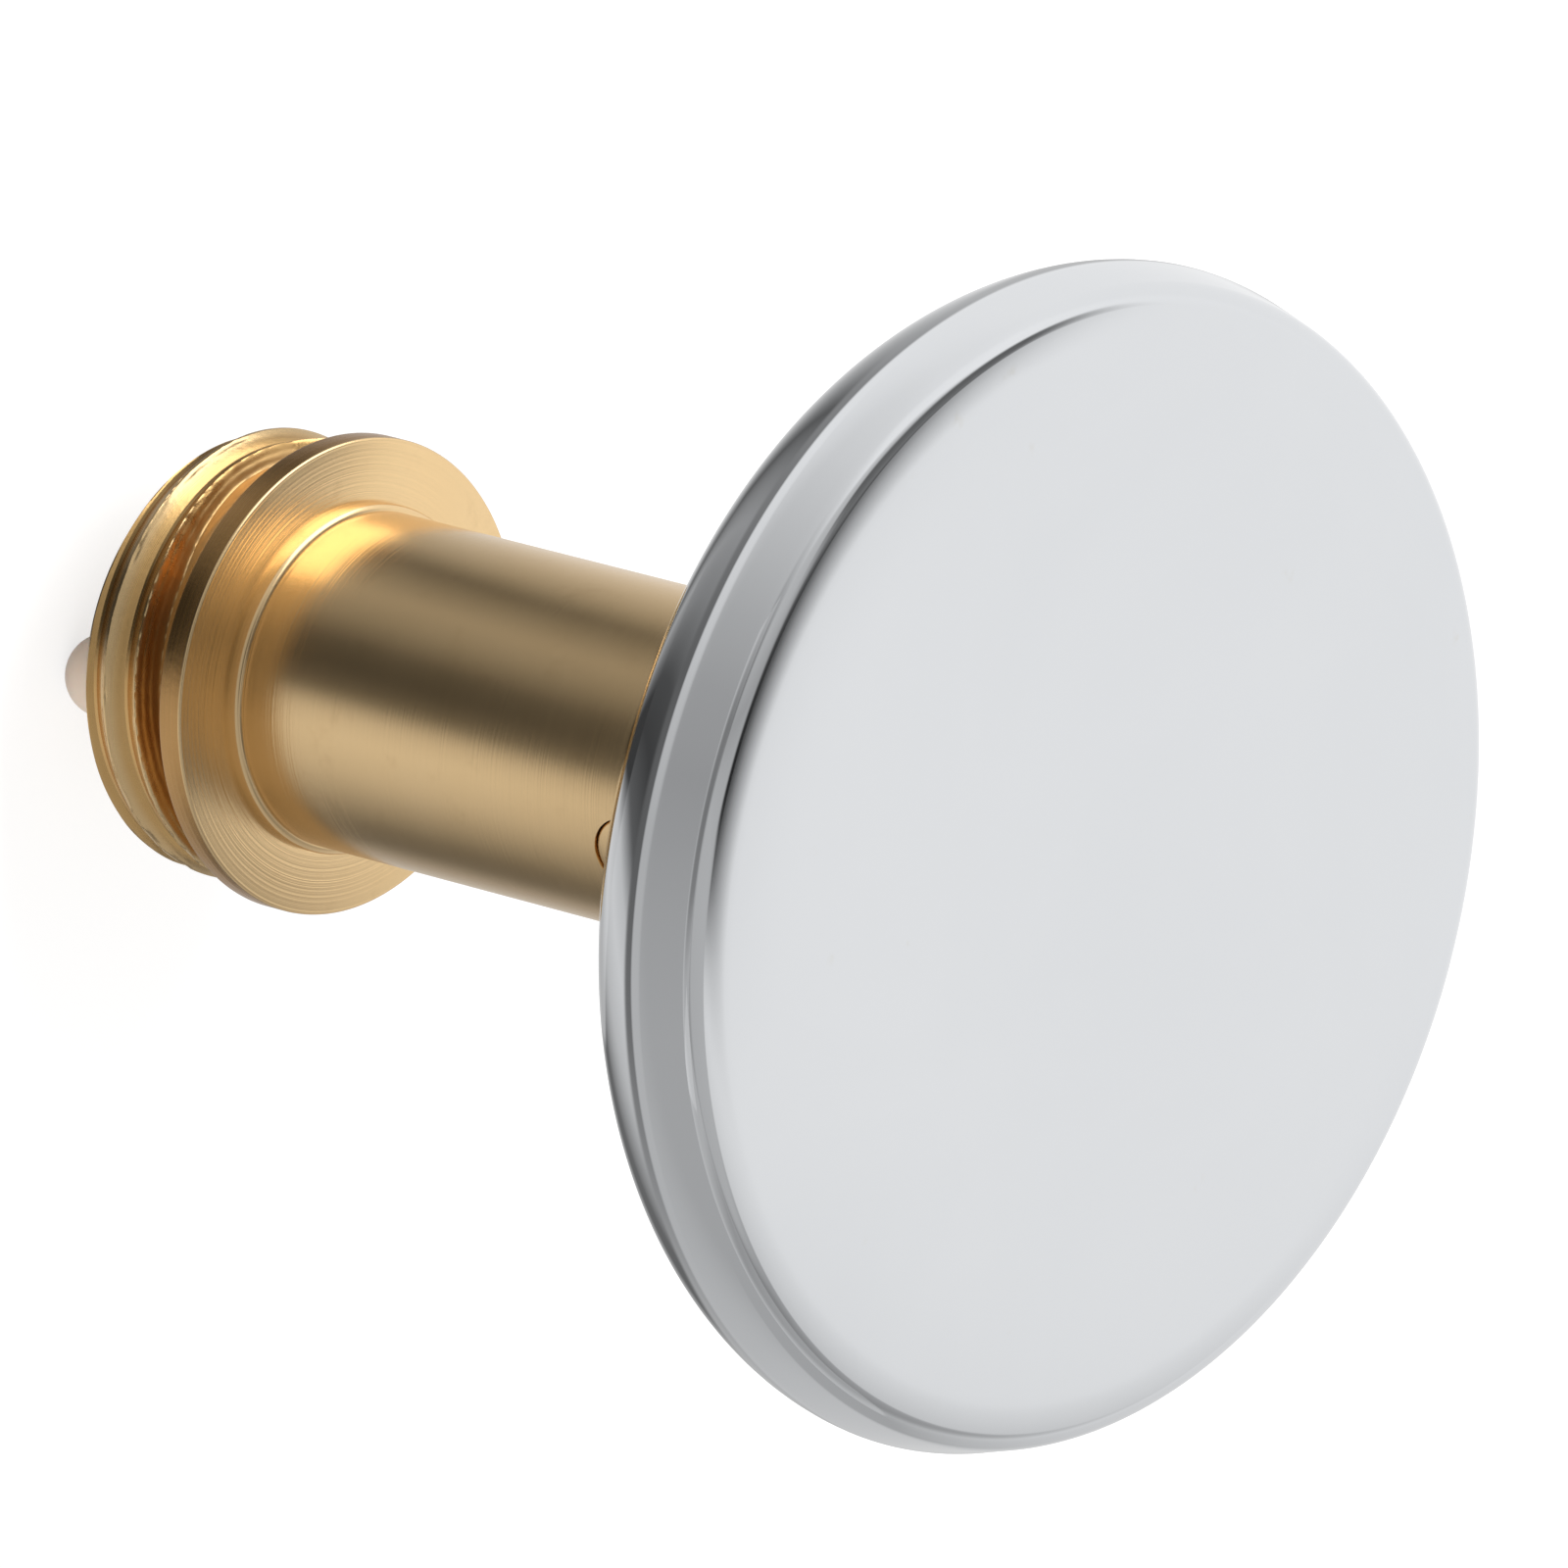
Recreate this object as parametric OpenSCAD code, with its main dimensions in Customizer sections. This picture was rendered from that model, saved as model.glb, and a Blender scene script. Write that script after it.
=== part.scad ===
// Push plug of a basin waste: press to close, press again to open.
// Frame: +Z along the plug's axis towards the cap, z = 0 on the underside of the flange. Millimetres.

/* [Body] */
// Outside diameter of the tube
tube_d = 12.0; // [11.6:0.1:13]
// Top of the tube above the flange's seat
tube_top = 22.5; // [21.5:0.5:24]
// Bore of the tube
bore_d = 9.8; // [9.6:0.1:10.4]
// Diameter of the flange
flange_d = 17.0; // [16.8:0.1:20]
// Thickness of the flange
flange_t = 1.05; // [0.8:0.05:2]
// Diameter of the low boss on the flange
boss_d = 12.5; // [12.2:0.1:14]
// Height of the low boss
boss_h = 0.65; // [0.3:0.05:1.2]
// Outside diameter of the thread
thread_d = 16.0; // [15.6:0.1:16.6]
// Depth of the threaded spigot below the seat
spigot_len = 4.9; // [4.6:0.1:6]
// Diameter of the undercut behind the thread
undercut_d = 14.2; // [13.4:0.1:14.6]
// Width of the undercut
undercut_w = 1.3; // [0.8:0.1:1.6]
// Chamfer at the end of the thread
thread_chamfer = 0.9; // [0.5:0.05:1]
// Thickness of the wall that closes the lower end
end_wall = 2.0; // [1.6:0.1:2.4]
// Diameter of the vent through the lower end
vent_d = 2.4; // [1.6:0.1:2.8]
// Broken edge on the turned corners
edge_break = 0.12; // [0.05:0.01:0.2]

/* [Guide bush] */
// Diameter of the sliding shaft
shaft_d = 6.4; // [6:0.1:6.6]
// Length of the guide bush
bush_len = 7.3; // [6.6:0.1:8]
// Diameter of the two pins that hold the bush
bush_pin_d = 3.0; // [2.2:0.1:3.4]
// Depth of the pins' centre below the top of the tube
bush_pin_drop = 2.7; // [2.4:0.1:4]
// Wall of the bush left between a pin and the shaft
bush_pin_web = 0.5; // [0.3:0.05:0.7]

/* [Index ring] */
// Height of the index ring
ring_h = 2.15; // [1.9:0.05:2.6]
// Diameter of the index pins
index_pin_d = 1.5; // [1.2:0.05:1.6]
// Depth of the track in the shaft
track_depth = 0.8; // [0.6:0.05:0.9]
// Rise of the latching notch back from full press
latch_rise = 1.2; // [0.8:0.1:1.6]
// Thickness of the thrust washer
thrust_t = 0.5; // [0.3:0.05:0.8]

/* [Stroke and spring] */
// Full press of the cap
stroke = 7.0; // [6:0.25:7.5]
// Diameter of the spring wire
wire_d = 0.7; // [0.5:0.05:0.75]
// Mean diameter of the spring
spring_mean_d = 6.6; // [6.3:0.1:6.8]
// Turns of the spring, with its two closed end turns
spring_turns = 6; // [5:0.5:6.5]
// Thickness of the washer on top of the spring
spring_washer_t = 0.4; // [0.3:0.05:0.6]
// Wall of the spacer sleeve
sleeve_wall = 0.75; // [0.5:0.05:0.85]
// Height of the shaft's collar
collar_h = 1.7; // [1.2:0.1:2]
// Diameter of the pilot that centres the spring
pilot_d = 5.4; // [4.6:0.1:5.5]
// Length of the pilot below the collar
pilot_len = 2.2; // [1.2:0.1:2.6]

/* [Spring seat] */
// Height of the spring seat
seat_h = 1.9; // [1.6:0.1:2.4]
// Depth of the spring's recess in the seat
seat_recess = 0.9; // [0.5:0.1:1]
// Diameter of the two pegs
peg_d = 3.0; // [2.4:0.1:3.2]
// Distance of a peg's centre from the axis
peg_radius = 3.2; // [2.9:0.05:3.2]
// Tip of the pegs below the end of the thread
peg_reach = 4.4; // [3:0.1:5.5]
// Turn of the pegs from the bush pins, in degrees
peg_angle = 3; // [0:1:20]

/* [Cap] */
// Height of the cap's face above the seat, plug open
open_height = 36.2; // [35.5:0.1:38]
// Diameter of the cap behind its face
cap_front_d = 40.1; // [39:0.1:40.7]
// Largest diameter of the cap
cap_d = 41.3; // [40.8:0.1:44]
// Radius of the edge round the face
cap_edge_r = 0.55; // [0.3:0.05:0.8]
// Depth of the rim from the face to its widest line
rim_h = 2.1; // [1.8:0.1:2.6]
// Height of the bevel behind the rim
bevel_h = 3.6; // [3.2:0.1:3.9]
// Diameter of the bevel's small end
bevel_d = 36.8; // [36.4:0.1:38.4]
// Thickness of the cap's plate
cap_plate = 2.6; // [2.2:0.1:3]
// Diameter of the hub under the cap
hub_d = 10.4; // [9:0.1:12]
// Diameter of the stud between the cap and the shaft
stud_d = 4.0; // [3:0.1:4.2]
// Depth of the stud in the shaft
stud_grip = 6.0; // [4:0.5:7]
// Plate left above the stud's hole
stud_cover = 1.3; // [1:0.1:1.6]
// Inner diameter of the seal
seal_inner_d = 28.4; // [27:0.1:29]
// Width of the seal's section
seal_w = 2.5; // [2:0.1:2.8]
// Depth of the seal's groove
seal_groove = 1.4; // [1:0.1:1.8]
// How far the seal stands out below the cap
seal_proud = 0.8; // [0.4:0.1:1]
// Width of the lip inside the seal
seal_lip = 1.8; // [1.4:0.1:2.4]

/* [Clearances] */
// Radial gap of the shaft in its bush
run_gap = 0.05; // [0.03:0.01:0.08]
// Radial gap of the pieces that fill the bore
fill_gap = 0.03; // [0.02:0.01:0.05]
// Radial gap of the turning ring and of the collar
turn_gap = 0.12; // [0.08:0.01:0.2]
// Gap between the stacked pieces that turn or slide
stack_gap = 0.1; // [0.06:0.02:0.15]
// Gap of the index pins in the track
track_gap = 0.14; // [0.1:0.02:0.2]
// Gap between the hub and the tube at full press
press_gap = 0.5; // [0.3:0.1:0.8]

/* [Hidden] */
$fn = 96;

tiny = 0.01;
through = 1;
tube_r = tube_d / 2;
bore_r = bore_d / 2;
shaft_r = shaft_d / 2;

// levels of the stack inside the tube, from the lower end up
bore_floor = end_wall - spigot_len;
seat_top = bore_floor + seat_h;
spring_low = seat_top - seat_recess;
bush_low = tube_top - stack_gap - bush_len;
bush_pin_z = tube_top - bush_pin_drop;
ring_top = bush_low - stack_gap;
ring_low = ring_top - ring_h;
ring_mid = (ring_top + ring_low) / 2;
thrust_top = ring_low - stack_gap;
thrust_low = thrust_top - thrust_t;
collar_top = thrust_low - stack_gap;
collar_low = collar_top - collar_h;
washer_low = collar_low - spring_washer_t;
spring_high = washer_low - fill_gap;

// radii that follow the bore and the shaft
fill_r = bore_r - fill_gap;
sleeve_r = fill_r - sleeve_wall;
collar_r = sleeve_r - turn_gap;
ring_in = shaft_r + turn_gap;
thrust_in = shaft_r + turn_gap;

// zig-zag track: rest, full press, latch, full press and rest again in each half turn
index_angle = 45;
half_turn = 180;
track_step = 5;
track_floor = shaft_r - track_depth;
track_cut_r = index_pin_d / 2 + track_gap;
track_rest = ring_mid;
track_press = ring_mid + stroke;
track_latch = track_press - latch_rise;

// levels of the cap and its pieces
hub_low = tube_top + stroke + press_gap;
plate_low = open_height - cap_plate;
rim_low = open_height - rim_h;
cap_low = rim_low - bevel_h;
stud_top = open_height - stud_cover - stack_gap;
stud_low = hub_low - stud_grip;
seal_in = seal_inner_d / 2;
seal_out = seal_in + seal_w;
seal_top = cap_low + seal_groove;
recess_r = seal_in - seal_lip;

// corner of a turned profile rounded with an arc from angle a0 to a1
function arc(c, r, a0, a1, n) = [for (i = [0:n]) let (a = a0 + (a1 - a0) * i / n) c + r * [cos(a), sin(a)]];

// curve from p to q that leaves and arrives along the lines to the point m
function blend(p, m, q, n) = [for (i = [0:n]) let (t = i / n) p * (1 - t) * (1 - t) + m * 2 * t * (1 - t) + q * t * t];

// ring between two radii and two heights
module tube_ring(r_in, r_out, z0, z1) {
    translate([0, 0, z0])
        difference() {
            cylinder(r = r_out, h = z1 - z0);
            translate([0, 0, -through])
                cylinder(r = r_in, h = z1 - z0 + 2 * through);
        }
}

// pin that points outwards along +X
module radial_pin(r, x0, x1, z) {
    translate([x0, 0, z])
        rotate([0, 90, 0])
            cylinder(r = r, h = x1 - x0);
}

// places its children on the peg of side 0 or 1
module at_peg(side) {
    rotate(peg_angle + side * half_turn)
        translate([peg_radius, 0, 0])
            children();
}

module body() {
    e = edge_break;
    flange_r = flange_d / 2;
    boss_r = boss_d / 2;
    thread_r = thread_d / 2;
    undercut_r = undercut_d / 2;
    outline = [
        [0, -spigot_len],
        [thread_r - thread_chamfer, -spigot_len],
        [thread_r, thread_chamfer - spigot_len],
        [thread_r, -undercut_w - e],
        [thread_r - e, -undercut_w],
        [undercut_r, -undercut_w],
        [undercut_r, 0],
        [flange_r - e, 0],
        [flange_r, e],
        [flange_r, flange_t - e],
        [flange_r - e, flange_t],
        [boss_r, flange_t],
        [boss_r, flange_t + boss_h - e],
        [boss_r - e, flange_t + boss_h],
        [tube_r, flange_t + boss_h],
        [tube_r, tube_top - e],
        [tube_r - e, tube_top],
        [0, tube_top]
    ];
    color("goldenrod")
        difference() {
            rotate_extrude()
                polygon(outline);
            translate([0, 0, bore_floor])
                cylinder(r = bore_r, h = tube_top - bore_floor + through);
            translate([0, 0, -spigot_len - through])
                cylinder(d = vent_d, h = end_wall + 2 * through);
            for (side = [0, 1])
                at_peg(side)
                    translate([0, 0, -spigot_len - through])
                        cylinder(d = peg_d + 2 * stack_gap, h = end_wall + 2 * through);
            for (side = [0, 1])
                rotate(side * half_turn)
                    radial_pin(bush_pin_d / 2 + fill_gap, bore_r - through, tube_r + through, bush_pin_z);
        }
}

module guide_bush() {
    color("ivory")
        difference() {
            tube_ring(shaft_r + run_gap, fill_r, bush_low, tube_top - stack_gap);
            for (side = [0, 1])
                rotate(side * half_turn)
                    radial_pin(bush_pin_d / 2 + fill_gap, shaft_r + bush_pin_web, bore_r + through, bush_pin_z);
        }
}

module bush_pin(side) {
    color("darkgoldenrod")
        intersection() {
            rotate(side * half_turn)
                radial_pin(bush_pin_d / 2, shaft_r + bush_pin_web + fill_gap, tube_r + through, bush_pin_z);
            translate([0, 0, bush_pin_z - bush_pin_d])
                cylinder(r = tube_r - fill_gap, h = 2 * bush_pin_d);
        }
}

module spring_seat() {
    tip_r = peg_d / 2;
    tip_z = -spigot_len - peg_reach;
    color("mistyrose") {
        difference() {
            translate([0, 0, bore_floor])
                cylinder(r = fill_r, h = seat_h);
            translate([0, 0, spring_low])
                cylinder(r = sleeve_r, h = seat_recess + through);
            translate([0, 0, bore_floor - through])
                cylinder(d = vent_d, h = seat_h + 2 * through);
        }
        for (side = [0, 1])
            at_peg(side) {
                translate([0, 0, tip_z + tip_r])
                    cylinder(r = tip_r, h = bore_floor - tip_z - tip_r + tiny);
                translate([0, 0, tip_z + tip_r])
                    sphere(r = tip_r);
            }
    }
}

module spacer_sleeve() {
    color("silver")
        tube_ring(sleeve_r, fill_r, seat_top, thrust_low);
}

module thrust_washer() {
    color("lightsteelblue")
        tube_ring(thrust_in, bore_r - turn_gap, thrust_low, thrust_top);
}

module index_ring() {
    color("khaki")
        difference() {
            tube_ring(ring_in, bore_r - turn_gap, ring_low, ring_top);
            for (side = [0, 1])
                rotate(90 + side * half_turn)
                    radial_pin(index_pin_d / 2 + tiny, shaft_r, bore_r, ring_mid);
        }
}

module index_pin(side) {
    color("dimgray")
        rotate(90 + side * half_turn)
            radial_pin(index_pin_d / 2, track_floor + track_gap, bore_r - 2 * turn_gap, ring_mid);
}

// height of the pins' path round the shaft, in degrees from a rest point
function path_z(t) =
    let (u = (t % half_turn + half_turn) % half_turn, v = min(u, half_turn - u))
    v <= index_angle
        ? track_rest + (track_press - track_rest) * v / index_angle
        : track_press + (track_latch - track_press) * (v - index_angle) / (half_turn / 2 - index_angle);

// edge of the cut that the pin leaves at radius r: side is 1 above the path and -1 below it
function track_edge(t, r, side) =
    let (reach = asin(track_cut_r / r), n = 12)
    side * max([for (i = [-n:n])
        let (a = reach * i / n, y = r * sin(a))
        side * path_z(t + a) + sqrt(max(0, track_cut_r * track_cut_r - y * y))]);

// closed band that cuts the track, from its floor to just outside the shaft
module track_cutter() {
    n = 2 * half_turn / track_step;
    r_out = shaft_r + track_depth / 2;
    function corner(t, r, side) =
        let (a = t + 90)
        [r * cos(a), r * sin(a), track_edge(t, r, side)];
    points = [for (i = [0:n - 1]) let (t = i * track_step)
        each [corner(t, track_floor, -1), corner(t, r_out, -1), corner(t, r_out, 1), corner(t, track_floor, 1)]];
    faces = [for (i = [0:n - 1], j = [0:3])
        let (k = (i + 1) % n, m = (j + 1) % 4, a = 4 * i + j, b = 4 * i + m, c = 4 * k + m, d = 4 * k + j)
        each [[a, b, c], [a, c, d]]];
    polyhedron(points, faces, convexity = 8);
}

module cam_shaft() {
    color("whitesmoke")
        difference() {
            union() {
                translate([0, 0, collar_low - pilot_len])
                    cylinder(d = pilot_d, h = pilot_len + tiny);
                translate([0, 0, collar_low])
                    cylinder(r = collar_r, h = collar_h);
                translate([0, 0, collar_low])
                    cylinder(r = shaft_r, h = hub_low - collar_low);
            }
            track_cutter();
            translate([0, 0, stud_low])
                cylinder(d = stud_d + 2 * fill_gap, h = stud_grip + through);
        }
}

module spring_washer() {
    color("lightgray")
        tube_ring(pilot_d / 2 + turn_gap, collar_r, washer_low, collar_low);
}

// height of the wire's centre after t turns: closed at both ends and open between
function wire_z(t) =
    let (low = spring_low + wire_d / 2, high = spring_high - wire_d / 2, shut = wire_d + 2 * fill_gap)
    t <= 1 ? low + shut * t
    : t >= spring_turns - 1 ? high - shut * (spring_turns - t)
    : low + shut + (high - low - 2 * shut) * (t - 1) / (spring_turns - 2);

module return_spring() {
    per_turn = 20;
    sides = 8;
    n = spring_turns * per_turn;
    points = [for (i = [0:n], j = [0:sides - 1])
        let (t = i / per_turn, a = 360 * t, b = 360 * j / sides, r = (spring_mean_d + wire_d * cos(b)) / 2)
        [r * cos(a), r * sin(a), wire_z(t) + wire_d / 2 * sin(b)]];
    walls = [for (i = [0:n - 1], j = [0:sides - 1])
        let (m = (j + 1) % sides, a = i * sides + j, b = i * sides + m, c = b + sides, d = a + sides)
        each [[a, b, c], [a, c, d]]];
    first = [for (j = [1:sides - 2]) [0, j + 1, j]];
    last = [for (j = [1:sides - 2]) [n * sides, n * sides + j, n * sides + j + 1]];
    color("lightslategray")
        polyhedron(points, concat(walls, first, last), convexity = 12);
}

module cap_stud() {
    color("peru")
        translate([0, 0, stud_low + stack_gap])
            cylinder(d = stud_d, h = stud_top - stud_low - stack_gap);
}

module cap() {
    front_r = cap_front_d / 2;
    rim_r = cap_d / 2;
    bevel_r = bevel_d / 2;
    bulge = [rim_r - 0.07 * (rim_r - bevel_r), cap_low + 0.36 * bevel_h];
    outline = concat(
        [[0, open_height]],
        arc([front_r - cap_edge_r, open_height - cap_edge_r], cap_edge_r, 90, 0, 5),
        blend([rim_r, rim_low], bulge, [bevel_r, cap_low], 6),
        [
            [seal_out + fill_gap, cap_low],
            [seal_out + fill_gap, seal_top],
            [seal_in - fill_gap, seal_top],
            [seal_in - fill_gap, cap_low],
            [recess_r, cap_low],
            [recess_r, plate_low],
            [hub_d / 2, plate_low],
            [hub_d / 2, hub_low],
            [0, hub_low]
        ]
    );
    color("lightgrey")
        difference() {
            rotate_extrude()
                polygon(outline);
            translate([0, 0, hub_low - through])
                cylinder(d = stud_d + 2 * fill_gap, h = stud_top + stack_gap - hub_low + through);
        }
}

module cap_seal() {
    r = seal_proud / 2;
    low = cap_low - seal_proud;
    outline = concat(
        [[seal_in, seal_top], [seal_out, seal_top]],
        arc([seal_out - r, low + r], r, 0, -90, 4),
        arc([seal_in + r, low + r], r, -90, -180, 4)
    );
    color("dimgrey")
        rotate_extrude()
            polygon(outline);
}

body();
guide_bush();
bush_pin(0);  // bush_pin_1
bush_pin(1);  // bush_pin_2
spring_seat();
spacer_sleeve();
thrust_washer();
index_ring();
index_pin(0);  // index_pin_1
index_pin(1);  // index_pin_2
cam_shaft();
spring_washer();
return_spring();
cap_stud();
cap();
cap_seal();
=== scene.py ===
"""Push plug of a basin waste: a chromed cap on a sprung shaft in a turned brass body."""

import math

import bmesh
import bpy
from mathutils import Matrix, Vector, noise


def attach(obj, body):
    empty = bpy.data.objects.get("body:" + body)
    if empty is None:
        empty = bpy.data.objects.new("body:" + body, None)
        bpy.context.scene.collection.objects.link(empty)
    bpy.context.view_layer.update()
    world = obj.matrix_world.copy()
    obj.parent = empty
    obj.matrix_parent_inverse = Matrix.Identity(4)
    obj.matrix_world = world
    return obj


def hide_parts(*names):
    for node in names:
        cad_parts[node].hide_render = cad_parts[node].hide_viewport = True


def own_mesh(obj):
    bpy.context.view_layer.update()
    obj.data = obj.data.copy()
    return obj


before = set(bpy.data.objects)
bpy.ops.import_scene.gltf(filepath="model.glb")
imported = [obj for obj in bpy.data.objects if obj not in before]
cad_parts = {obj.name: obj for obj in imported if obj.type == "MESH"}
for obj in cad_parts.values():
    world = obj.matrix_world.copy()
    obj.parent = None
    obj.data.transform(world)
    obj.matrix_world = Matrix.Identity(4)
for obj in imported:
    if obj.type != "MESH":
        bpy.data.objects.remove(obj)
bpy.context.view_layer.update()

MM = 0.001
Z_AXIS = (0, 0, 1)
SIDES = (0, 1)
# Turn of the plug's front from +X, in degrees.
FRONT = -38.1

# Sizes of the turned body and of what sits in it, in millimetres.
TUBE_R = 6.0
TUBE_TOP = 22.5
TUBE_EDGE = 0.18
BORE_R = 4.9
BORE_FLOOR = -2.9
VENT_R = 1.2
BOSS_R = 6.25
BOSS_TOP = 1.7
FLANGE_R = 8.5
FLANGE_TOP = 1.05
SPIGOT_END = -4.9
CUT_BRASS_R = 7.0
CUT_BRASS_TOP = 0.94
PIN_R = 1.5
PIN_LENGTH = 2.2
PIN_MIDDLE = 4.85
PIN_EDGE = 0.13
PIN_Z = 19.8
PIN_HOLE_R = 1.53
PEG_R = 1.5
PEG_TURN = math.radians(3)
PEG_OFF_AXIS = 3.2
PEG_TIP = -9.3
PEG_HOLE_R = 1.6
PEG_HOLE_Z = -4.2
DRILL_LENGTH = 4
SEAT_R = 4.87
SEAT_TOP = -1.0
SEAT_RECESS_R = 4.12
SPRING_LOW = -1.9
SPRING_HIGH = 10.02

# The thread: its crests, its groove and the shoulder where it runs out, in millimetres.
THREAD_R = 8.0
THREAD_ROOT_R = 7.1
THREAD_TOP = -1.2
THREAD_CHAMFER = 0.9
THREAD_PITCH = 1.5
CREST_Z = -1.75
GROOVE_DEPTH = 0.38
SHOULDER_OVER = 0.3
SHOULDER_SLOPE = 0.36
SHOULDER_WOBBLE = 0.012
TURNING_LINE = 0.016
TURNING_PITCH = 0.11
CREST_TEAR = 0.06
PEEL_OUT = 0.16
PEEL_UP = 0.12
# Where the lower crest is peeled, in degrees from the plug's front.
PEEL_FROM = -62
PEEL_TO = -5
# Half width of a crest and width of a flank, as shares of the pitch, and the share of a flank that tears.
CREST_SHARE = 0.03
FLANK_SHARE = 0.42
TORN_SHARE = 0.25
# Height of the shoulder by turn from the plug's front, in degrees.
SHOULDER = [
    (-180, -1.35), (-110, -1.5), (-75, -2.6), (-51, -2.5), (-30, -2.1), (-15, -1.78), (5, -1.67),
    (38, -1.47), (60, -1.35), (180, -1.35),
]

# The cap and its seal, in millimetres.
FACE_Z = 36.2
PLATE_LOW = 33.6
CAP_LOW = 30.5
HUB_LOW = 30.0
HUB_R = 5.2
RECESS_R = 12.4
GROOVE_TOP = 31.9
GROOVE_R = (14.17, 16.73)
STUD_HOLE_R = 2.03
STUD_HOLE_TOP = 34.9
SEAL_LOW = 29.7


class Wire:
    """A shader socket that can stand in Python sums."""

    def __init__(self, tree, socket):
        self.tree = tree
        self.socket = socket

    def sum_with(self, operation, a, b):
        return self.tree.node("ShaderNodeMath", {"operation": operation}, {0: a, 1: b})

    def __add__(self, other):
        return self.sum_with("ADD", self, other)

    def __radd__(self, other):
        return self.sum_with("ADD", other, self)

    def __sub__(self, other):
        return self.sum_with("SUBTRACT", self, other)

    def __rsub__(self, other):
        return self.sum_with("SUBTRACT", other, self)

    def __mul__(self, other):
        return self.sum_with("MULTIPLY", self, other)

    def __rmul__(self, other):
        return self.sum_with("MULTIPLY", other, self)

    def __truediv__(self, other):
        return self.sum_with("DIVIDE", self, other)

    def __rtruediv__(self, other):
        return self.sum_with("DIVIDE", other, self)

    def __pow__(self, other):
        return self.sum_with("POWER", self, other)

    def __rpow__(self, other):
        return self.sum_with("POWER", other, self)


def opaque(colour):
    """A colour or a grey level with full alpha; a wire stays as it is."""
    if isinstance(colour, Wire):
        return colour
    return (*colour, 1.0) if isinstance(colour, tuple) else (colour, colour, colour, 1.0)


class NodeTree:
    """Adds nodes to a material's or world's tree."""

    def __init__(self, tree):
        self.tree = tree
        tree.nodes.clear()

    def node(self, kind, settings=None, inputs=None, output=0):
        made = self.tree.nodes.new(kind)
        for name, value in (settings or {}).items():
            if name == "stops":
                self.set_stops(made.color_ramp, value)
            else:
                setattr(made, name, value)
        for name, value in (inputs or {}).items():
            if isinstance(value, Wire):
                self.tree.links.new(value.socket, made.inputs[name])
            else:
                made.inputs[name].default_value = value
        return Wire(self, made.outputs[output]) if made.outputs else None

    def set_stops(self, ramp, stops):
        while len(ramp.elements) < len(stops):
            ramp.elements.new(1.0)
        for element, (place, colour) in zip(ramp.elements, stops):
            element.position = place
            element.color = opaque(colour)

    def place(self):
        return self.node("ShaderNodeTexCoord", output="Object")

    def split(self, vector, axis):
        return self.node("ShaderNodeSeparateXYZ", inputs={"Vector": vector}, output=axis)

    def off_axis(self):
        """Distance from the plug's axis, in metres."""
        vector = self.place()
        x = self.split(vector, "X")
        y = self.split(vector, "Y")
        return (x * x + y * y) ** 0.5

    def height(self):
        return self.split(self.place(), "Z")

    def clouds(self, scale, detail=3.0, rough=0.55, warp=0.0):
        return self.node(
            "ShaderNodeTexNoise",
            inputs={
                "Vector": self.place(), "Scale": scale, "Detail": detail, "Roughness": rough, "Distortion": warp,
            },
            output="Fac",
        )

    def lines(self, along, scale, detail):
        return self.node(
            "ShaderNodeTexNoise", {"noise_dimensions": "1D"},
            {"W": along, "Scale": scale, "Detail": detail, "Roughness": 0.6}, output="Fac",
        )

    def step(self, value, low, high, to_low=0.0, to_high=1.0):
        return self.node(
            "ShaderNodeMapRange", {"interpolation_type": "SMOOTHSTEP"},
            {"Value": value, "From Min": low, "From Max": high, "To Min": to_low, "To Max": to_high},
        )

    def past(self, value, start):
        """How far a value is past its start, and 0 before it."""
        return self.node("ShaderNodeMath", {"operation": "MAXIMUM"}, {0: value - start, 1: 0.0})

    def dot(self, vector, axis):
        return self.node("ShaderNodeVectorMath", {"operation": "DOT_PRODUCT"}, {0: vector, 1: axis}, output="Value")

    def blend(self, factor, a, b):
        return self.node(
            "ShaderNodeMix", {"data_type": "RGBA"}, {0: factor, 6: opaque(a), 7: opaque(b)}, output=2
        )

    def bump(self, height, strength, distance, under=None):
        inputs = {"Height": height, "Strength": strength, "Distance": distance}
        if under is not None:
            inputs["Normal"] = under
        return self.node("ShaderNodeBump", inputs=inputs)

    def ray_is(self, kind):
        return self.node("ShaderNodeLightPath", output=f"Is {kind} Ray")


class Finish(NodeTree):
    """A material with one Principled shader."""

    def __init__(self, name, **sockets):
        self.material = bpy.data.materials.new(name)
        self.material.use_nodes = True
        super().__init__(self.material.node_tree)
        inputs = {key.replace("_", " "): value for key, value in sockets.items()}
        self.shader = self.node("ShaderNodeBsdfPrincipled", inputs=inputs)
        self.node("ShaderNodeOutputMaterial", inputs={"Surface": self.shader})

    def feed(self, **wires):
        sockets = self.shader.socket.node.inputs
        for key, wire in wires.items():
            self.tree.links.new(wire.socket, sockets[key.replace("_", " ")])
        return self.material


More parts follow.
